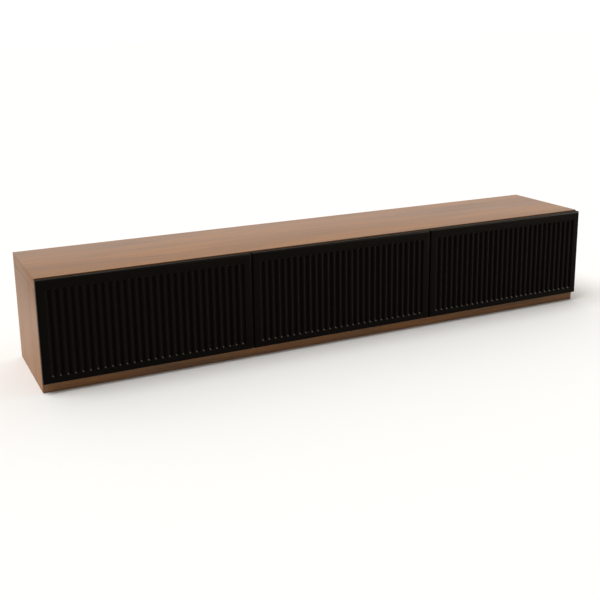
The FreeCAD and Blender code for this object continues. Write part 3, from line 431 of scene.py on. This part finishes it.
def bare_hardboard():
    """Bare hardboard: dark even brown, dull, with the press screen's fine mesh."""
    material = new_material("Hardboard, pressed on a screen")
    place = add(material, "ShaderNodeTexCoord").outputs["Object"]
    wires = {"Scale": 1 / SCREEN_PITCH / math.tau, "Distortion": 0.4}
    across = add(material, "ShaderNodeTexWave", wires, {"Vector": place}, bands_direction="X")
    along = add(material, "ShaderNodeTexWave", wires, {"Vector": place}, bands_direction="Z")
    mesh = add(material, "ShaderNodeMath", links={0: across.outputs["Fac"], 1: along.outputs["Fac"]},
               operation="MULTIPLY")
    fibres = add(material, "ShaderNodeTexNoise",
                 {"Scale": FIBRES_PER_METRE, "Detail": 5.0, "Roughness": 0.65}, {"Vector": place})
    colour = add(material, "ShaderNodeValToRGB", links={"Fac": fibres.outputs["Fac"]},
                 stops=[(0.35, linear("#5d4330")), (0.65, linear("#7a5a40"))])
    bump = add(material, "ShaderNodeBump", {"Strength": 0.35, "Distance": 0.0003},
               {"Height": mesh.outputs[0]})
    shader = add(material, "ShaderNodeBsdfPrincipled", {"Roughness": 0.8, "Specular IOR Level": 0.35},
                 {"Base Color": colour.outputs["Color"], "Normal": bump.outputs["Normal"]})
    add(material, "ShaderNodeOutputMaterial", links={"Surface": shader.outputs["BSDF"]})
    return material


printed_hardboard = walnut_melamine("Walnut-print foil on hardboard", "Z", (9.1, 0.4, 0.3))
hardboard_back = bare_hardboard()
for bay in ("left", "middle", "right"):
    sheet = finished_fitting("back_panel_" + bay, printed_hardboard)
    sheet.data.materials.append(hardboard_back)
    for face in sheet.data.polygons:
        face.material_index = 0 if face.normal.y < -FACING else 1


# ============================================================ cable outlets' rings
# A black ABS ring is snapped into each outlet from behind: a wide flange outside, a low lip inside.
RING_ARRIS = 0.0006
CLOUDS_TO_SPARKS = 0.02
GLOSS_SPREAD = 0.06


def moulded_plastic(name, dark, light, sparks, roughness):
    """Injection-moulded plastic: one deep colour, with a spark-eroded grain that breaks up the gloss."""
    material = new_material(name)
    place = add(material, "ShaderNodeTexCoord").outputs["Object"]
    grain = add(material, "ShaderNodeTexNoise", {"Scale": 1 / sparks, "Detail": 2.0}, {"Vector": place})
    clouds = add(material, "ShaderNodeTexNoise", {"Scale": CLOUDS_TO_SPARKS / sparks, "Detail": 3.0},
                 {"Vector": place})
    colour = add(material, "ShaderNodeValToRGB", links={"Fac": clouds.outputs["Fac"]},
                 stops=[(0.35, linear(dark)), (0.65, linear(light))])
    gloss = add(material, "ShaderNodeMapRange",
                {"To Min": roughness - GLOSS_SPREAD, "To Max": roughness + GLOSS_SPREAD},
                {"Value": grain.outputs["Fac"]})
    bump = add(material, "ShaderNodeBump", {"Strength": 0.25, "Distance": sparks / 4},
               {"Height": grain.outputs["Fac"]})
    shader = add(material, "ShaderNodeBsdfPrincipled", {"IOR": 1.5},
                 {"Base Color": colour.outputs["Color"], "Roughness": gloss.outputs["Result"],
                  "Normal": bump.outputs["Normal"]})
    add(material, "ShaderNodeOutputMaterial", links={"Surface": shader.outputs["BSDF"]})
    return material


black_abs = moulded_plastic("Black ABS, moulded with a fine grain", "#0e0e0f", "#151516", 0.0005, 0.5)
finished_fitting("cable_grommets", black_abs, arris=RING_ARRIS)


# ============================================================ flaps
# Each flap is an 18 mm MDF board. A core-box cutter has run 28 grooves with ball ends down its face,
# the front edges are rounded over, and the whole is sprayed with satin black lacquer.
FLAP_NAMES = ("left", "middle", "right")
FRONT_EDGE_RADIUS = 0.005
GROOVES = 28
GROOVE_PITCH = 0.02215
GROOVE_RADIUS = 0.0095
GROOVE_DEPTH = 0.0045
GROOVE_TOP_MARGIN = 0.027
GROOVE_BOTTOM_MARGIN = 0.0195
RIM_RADIUS = 0.0003
PEEL_PER_METRE = 420.0
CLOUDS_PER_METRE = 6.0
LEAF_WIDTH = 0.060
KNUCKLE_RADIUS = 0.003
NOTCH_AHEAD_OF_PIN = 0.0042
NOTCH_ABOVE_PIN = 0.0045
NOTCH_PLAY = 0.001
LEAF_RECESS = 0.0015


def satin_black_lacquer():
    """Sprayed satin lacquer on MDF: near-black, with a weak warm sheen and a faint orange peel."""
    material = new_material("Satin black lacquer, sprayed")
    place = add(material, "ShaderNodeTexCoord").outputs["Object"]
    peel = add(material, "ShaderNodeTexNoise", {"Scale": PEEL_PER_METRE, "Detail": 1.5},
               {"Vector": place})
    cloud = add(material, "ShaderNodeTexNoise", {"Scale": CLOUDS_PER_METRE, "Detail": 3.0},
                {"Vector": place})
    gloss = add(material, "ShaderNodeMapRange", {"To Min": 0.36, "To Max": 0.41},
                {"Value": cloud.outputs["Fac"]})
    bump = add(material, "ShaderNodeBump", {"Strength": 0.03, "Distance": 0.0002},
               {"Height": peel.outputs["Fac"]})
    shader = add(material, "ShaderNodeBsdfPrincipled",
                 {"Base Color": linear("#080706"), "IOR": 1.5, "Specular IOR Level": 0.010,
                  "Sheen Weight": 0.12, "Sheen Roughness": 0.3, "Sheen Tint": linear("#fff4e6")},
                 {"Roughness": gloss.outputs["Result"], "Normal": bump.outputs["Normal"]})
    add(material, "ShaderNodeOutputMaterial", links={"Surface": shader.outputs["BSDF"]})
    return material


def board_block(low, high, name):
    """A square-cut block between two corners, with its place in its mesh."""
    bpy.ops.object.select_all(action="DESELECT")
    bpy.ops.mesh.primitive_cube_add(size=1.0, location=(low + high) / 2, scale=high - low)
    bpy.ops.object.transform_apply(location=True, rotation=True, scale=True)
    piece = bpy.context.object
    piece.name = name
    return piece


def cut_away(piece, cutter):
    """Takes the cutter's volume out of the piece, and the cutter away."""
    apply_modifier(piece, "BOOLEAN", operation="DIFFERENCE", solver="EXACT", object=cutter)
    bpy.data.objects.remove(cutter)


def groove_cutters(low, high):
    """All grooves of a flap: a sphere pulled apart at its waist, repeated across the board."""
    mouth_half = math.sqrt(GROOVE_RADIUS ** 2 - (GROOVE_RADIUS - GROOVE_DEPTH) ** 2)
    bottom = low.z + GROOVE_BOTTOM_MARGIN + mouth_half
    length = high.z - GROOVE_TOP_MARGIN - mouth_half - bottom
    first = (low.x + high.x) / 2 - (GROOVES - 1) * GROOVE_PITCH / 2
    bpy.ops.object.select_all(action="DESELECT")
    bpy.ops.mesh.primitive_uv_sphere_add(segments=72, ring_count=35, radius=GROOVE_RADIUS,
                                         location=(first, low.y - GROOVE_RADIUS + GROOVE_DEPTH, bottom))
    bpy.ops.object.transform_apply(location=True, rotation=True, scale=True)
    cutter = bpy.context.object
    select_points(cutter, lambda point: point.z > bottom)
    bpy.ops.transform.translate(value=(0, 0, length))
    bpy.ops.object.mode_set(mode="OBJECT")
    apply_modifier(cutter, "ARRAY", count=GROOVES, use_relative_offset=False, use_constant_offset=True,
                   constant_offset_displace=(GROOVE_PITCH, 0, 0))
    return cutter


def hinge_cutters(low, high):
    """Knuckle notches and leaf recesses behind the flap's lower edge, around its hinge leaves."""
    leaves_low, leaves_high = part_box("flap_hinge_leaves_middle")
    cutters = []
    half = LEAF_WIDTH / 2
    axis_y = leaves_low.y + KNUCKLE_RADIUS
    axis_z = leaves_low.z + KNUCKLE_RADIUS
    for x in (leaves_low.x + half, (leaves_low.x + leaves_high.x) / 2, leaves_high.x - half):
        cutters.append(board_block(
            Vector((x - half - NOTCH_PLAY, axis_y - NOTCH_AHEAD_OF_PIN, low.z - NOTCH_PLAY)),
            Vector((x + half + NOTCH_PLAY, high.y + NOTCH_PLAY, axis_z + NOTCH_ABOVE_PIN)), "notch"))
        cutters.append(board_block(
            Vector((x - half, leaves_high.y - LEAF_RECESS, axis_z)),
            Vector((x + half, high.y + NOTCH_PLAY, leaves_high.z)), "recess"))
    return cutters


def make_flaps():
    """The middle flap is cut, and the other two are copies of it moved along the cabinet."""
    low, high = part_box("flap_panel_middle")
    panel = board_block(low, high, "flap_panel_middle_lacquered")
    select_edges(panel, lambda first, second: max(first.y, second.y) < low.y + LOOSE_VERTEX_GAP)
    bpy.ops.mesh.bevel(offset=FRONT_EDGE_RADIUS, segments=6, affect="EDGES")
    bpy.ops.object.mode_set(mode="OBJECT")
    cut_away(panel, groove_cutters(low, high))
    for cutter in hinge_cutters(low, high):
        cut_away(panel, cutter)
    use_only(panel)
    bpy.ops.object.shade_smooth_by_angle(angle=SMOOTH_WITHIN)
    apply_modifier(panel, "BEVEL", width=RIM_RADIUS, segments=2, limit_method="ANGLE",
                   angle_limit=SMOOTH_WITHIN, harden_normals=True, use_clamp_overlap=False)
    panel.data.materials.append(satin_black_lacquer())
    for name in FLAP_NAMES:
        flap = panel
        if name != "middle":
            flap = panel.copy()
            flap.data = panel.data.copy()
            flap.name = "flap_panel_" + name + "_lacquered"
            bpy.context.scene.collection.objects.link(flap)
            flap.data.transform(Matrix.Translation((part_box("flap_panel_" + name)[0].x - low.x, 0, 0)))
        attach(flap, "flap_" + name)
        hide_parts("flap_panel_" + name)


make_flaps()


# ============================================================ hinges
# Three pressed steel hinges to a flap: a cranked leaf screwed to the front edge of the cabinet's floor, a
# flat leaf let into the flap's back, and a steel pin through their rolled knuckles.
drawn_steel = plated_metal("Steel pin, drawn and polished", "#b4b6b8", "#c6c8ca", 0.20, 0.12,
                           METAL_GRIT, 0.05)
finished_fitting("hinge_fixed_leaves", pressed_nickel, arris=FINE_ARRIS)
finished_fitting("hinge_pins", drawn_steel)
finished_fitting("hinge_leaf_screws", plated_steel)
for name in FLAP_NAMES:
    finished_fitting("flap_hinge_leaves_" + name, pressed_nickel, "flap_" + name, FINE_ARRIS)
    finished_fitting("flap_screws_" + name, plated_steel, "flap_" + name)


# ============================================================ flap stays
# At both ends of each bay a chromed rod, pinned in a folded bracket on the flap, slides through a nylon
# brake that swivels on a steel plate. The brake slows the flap, and the rod's collar stops it level.
PLATE_ARRIS = 0.0004
BRAKE_ARRIS = 0.0005
chromed_steel = plated_metal("Chromed steel rod, ground", "#c3c6c9", "#d2d4d6", 0.14, 0.07,
                             METAL_GRIT, 0.03)
filled_nylon = moulded_plastic("Black glass-filled nylon, moulded", "#121212", "#1b1b1b", 0.0007, 0.56)
finished_fitting("stay_plates", pressed_nickel, arris=PLATE_ARRIS)
finished_fitting("stay_plate_screws", plated_steel)
for name in FLAP_NAMES:
    finished_fitting("flap_stay_brackets_" + name, pressed_nickel, "flap_" + name, FINE_ARRIS)
    finished_fitting("stay_rods_" + name, chromed_steel, "stay_rods_" + name, PLATE_ARRIS)
    finished_fitting("stay_brakes_" + name, filled_nylon, "stay_brakes_" + name, BRAKE_ARRIS)


# ============================================================ push latches
# A grey plastic push latch is screwed up under the top over each flap. Its sprung plunger, with a magnet
# in its tip, meets a plated strike plate on the flap's back.
grey_acetal = moulded_plastic("Grey acetal, moulded", "#5f6063", "#6b6c6f", 0.0005, 0.42)
magnet_nickel = plated_metal("Nickel-plated magnet", "#9c9a96", "#b0ada8", 0.25, 0.16, METAL_GRIT, 0.05)
MAGNET_THICKNESS = 0.002
HOUSING_ARRIS = 0.0005
finished_fitting("latch_housings", grey_acetal, arris=HOUSING_ARRIS)
finished_fitting("latch_screws", plated_steel)
for name in FLAP_NAMES:
    plunger = finished_fitting("latch_plunger_" + name, grey_acetal,
                               "latch_plunger_" + name, FINE_ARRIS)
    plunger.data.materials.append(magnet_nickel)
    magnet_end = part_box("latch_plunger_" + name)[0].y + MAGNET_THICKNESS
    for face in plunger.data.polygons:
        face.material_index = 1 if face.center.y < magnet_end else 0
    finished_fitting("flap_strike_plate_" + name, pressed_nickel, "flap_" + name, FINE_ARRIS)


# ============================================================ buffers
# Two self-adhesive buffers on each flap's back meet the top's front edge. They are small clear domes cast
# from soft polyurethane, flat where they stick.
DOME_RADIUS = 0.0012
HAZE_PER_METRE = 300.0


def cast_polyurethane():
    """Clear soft polyurethane, slightly yellowed and clouded, with a wet gloss."""
    material = new_material("Clear polyurethane, cast")
    place = add(material, "ShaderNodeTexCoord").outputs["Object"]
    clouds = add(material, "ShaderNodeTexNoise", {"Scale": HAZE_PER_METRE, "Detail": 2.0}, {"Vector": place})
    colour = add(material, "ShaderNodeValToRGB", links={"Fac": clouds.outputs["Fac"]},
                 stops=[(0.35, linear("#cdc9bd")), (0.65, linear("#dedbd1"))])
    gloss = add(material, "ShaderNodeMapRange", {"To Min": 0.16, "To Max": 0.30},
                {"Value": clouds.outputs["Fac"]})
    shader = add(material, "ShaderNodeBsdfPrincipled", {"IOR": 1.5, "Transmission Weight": 0.6},
                 {"Base Color": colour.outputs["Color"], "Roughness": gloss.outputs["Result"]})
    add(material, "ShaderNodeOutputMaterial", links={"Surface": shader.outputs["BSDF"]})
    return material


clear_polyurethane = cast_polyurethane()
for name in FLAP_NAMES:
    domes = finished_fitting("flap_bumpers_" + name, clear_polyurethane, "flap_" + name)
    crown_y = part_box("flap_bumpers_" + name)[1].y
    select_edges(domes, lambda first, second: min(first.y, second.y) > crown_y - LOOSE_VERTEX_GAP)
    bpy.ops.mesh.bevel(offset=DOME_RADIUS, segments=5, affect="EDGES")
    bpy.ops.object.mode_set(mode="OBJECT")


# ============================================================ floor, light and camera
# A plain pale floor that runs out of sight, a soft key light high on the left, a low strip for the left
# end, two lights for the black fronts, and a room that is brightest behind the cabinet, to the right.
FLOOR_SIZE = 80.0


def pale_floor():
    """Matt pale studio floor."""
    material = new_material("Pale studio floor")
    shader = add(material, "ShaderNodeBsdfPrincipled",
                 {"Base Color": linear("#f2f1ef"), "Roughness": 0.9, "Specular IOR Level": 0.1})
    add(material, "ShaderNodeOutputMaterial", links={"Surface": shader.outputs["BSDF"]})
    return material


bpy.ops.object.select_all(action="DESELECT")
bpy.ops.mesh.primitive_plane_add(size=FLOOR_SIZE, location=(0, 0, 0))
floor = bpy.context.object
floor.name = "floor"
floor.data.materials.append(pale_floor())


def soft_sun(name, heading, height, strength, spread, colour="#ffffff"):
    """A far soft light: from the front at heading 0, the right at 90, and overhead at height 90."""
    light = bpy.data.lights.new(name, "SUN")
    light.energy = strength
    light.angle = math.radians(spread)
    light.color = linear(colour)[:3]
    lamp = bpy.data.objects.new(name, light)
    bpy.context.scene.collection.objects.link(lamp)
    lamp.rotation_euler = (math.radians(90 - height), 0, math.radians(heading))
    return lamp


def light_only(name, lamps, pieces):
    """The lamps fall on these pieces alone."""
    lit = bpy.data.collections.new(name)
    for piece in pieces:
        lit.objects.link(bpy.data.objects[piece])
    for lamp in lamps:
        lamp.light_linking.receiver_collection = lit


soft_sun("light_above_left", heading=-92, height=66, strength=1.78, spread=40)

# The low strip stands beside the left end, at the height of the plinth, and shines to the right.
STRIP_SIZE = (0.9, 0.1)
STRIP_POWER = 1.0
STRIP_FROM_END = 0.26
STRIP_HEIGHT = 0.06
strip = bpy.data.lights.new("light_low_left", "AREA")
strip.shape = "RECTANGLE"
strip.size, strip.size_y = STRIP_SIZE
strip.energy = STRIP_POWER
strip_lamp = bpy.data.objects.new("light_low_left", strip)
bpy.context.scene.collection.objects.link(strip_lamp)
strip_lamp.location = (cad_low.x - STRIP_FROM_END, 0, STRIP_HEIGHT)
strip_lamp.rotation_euler = (math.radians(90), 0, math.radians(-90))
strip_lamp.visible_camera = False
light_only("left_end", [strip_lamp], ["side_panel_left_board", "top_panel_board"])

# The narrow light makes only the glints in the grooves' ends, and the wide one the tone of the fronts.
glint = soft_sun("light_for_the_gloss", heading=62, height=28, strength=40.0, spread=7, colour="#ffeedd")
glint.visible_diffuse = False
fill = soft_sun("light_low_right_for_the_fronts", heading=56, height=12, strength=4.0, spread=34,
                colour="#ffe8d0")
light_only("lacquered_fronts", [glint, fill], ["flap_panel_" + name + "_lacquered" for name in FLAP_NAMES])

# The room's brightness grows from one side to the other, along BRIGHT_SIDE.
ROOM_IN_FRONT = 0.06
ROOM_BEHIND = 1.1
BEHIND_STARTS = 0.7
BRIGHT_SIDE = (0.5, 0.87, 0.0)
world = bpy.data.worlds.new("studio")
bpy.context.scene.world = world
bpy.context.scene.view_settings.view_transform = "Standard"
world.use_nodes = True
room = world.node_tree.nodes["Background"]
room.inputs["Color"].default_value = linear("#fffdfa")
way = add(world, "ShaderNodeTexCoord").outputs["Generated"]
ahead = add(world, "ShaderNodeVectorMath", {1: BRIGHT_SIDE}, {0: way}, operation="DOT_PRODUCT")
brightness = add(world, "ShaderNodeMapRange",
                 {"From Min": -1.0, "From Max": BEHIND_STARTS,
                  "To Min": ROOM_IN_FRONT, "To Max": ROOM_BEHIND}, {"Value": ahead.outputs["Value"]})
world.node_tree.links.new(brightness.outputs["Result"], room.inputs["Strength"])

# The camera stands low in front of the left end. Its turns are in degrees.
CAMERA_PLACE = (-1.4266, -2.8221, 1.0688)
CAMERA_HEADING = 26.512
CAMERA_TILT = 14.039
CAMERA_ROLL = -0.575
CAMERA_LENS = 56.09
CAMERA_SENSOR = 36.0
CAMERA_SHIFT = (-0.025, -0.0833)
lens = bpy.data.cameras.new("camera")
lens.lens = CAMERA_LENS
lens.sensor_width = CAMERA_SENSOR
lens.shift_x, lens.shift_y = CAMERA_SHIFT
camera = bpy.data.objects.new("camera", lens)
bpy.context.scene.collection.objects.link(camera)
turn = Matrix.Rotation(math.radians(-CAMERA_HEADING), 4, "Z")
tilt = Matrix.Rotation(math.radians(90 - CAMERA_TILT), 4, "X")
roll = Matrix.Rotation(math.radians(CAMERA_ROLL), 4, "Z")
camera.matrix_world = Matrix.Translation(CAMERA_PLACE) @ turn @ tilt @ roll
bpy.context.scene.camera = camera
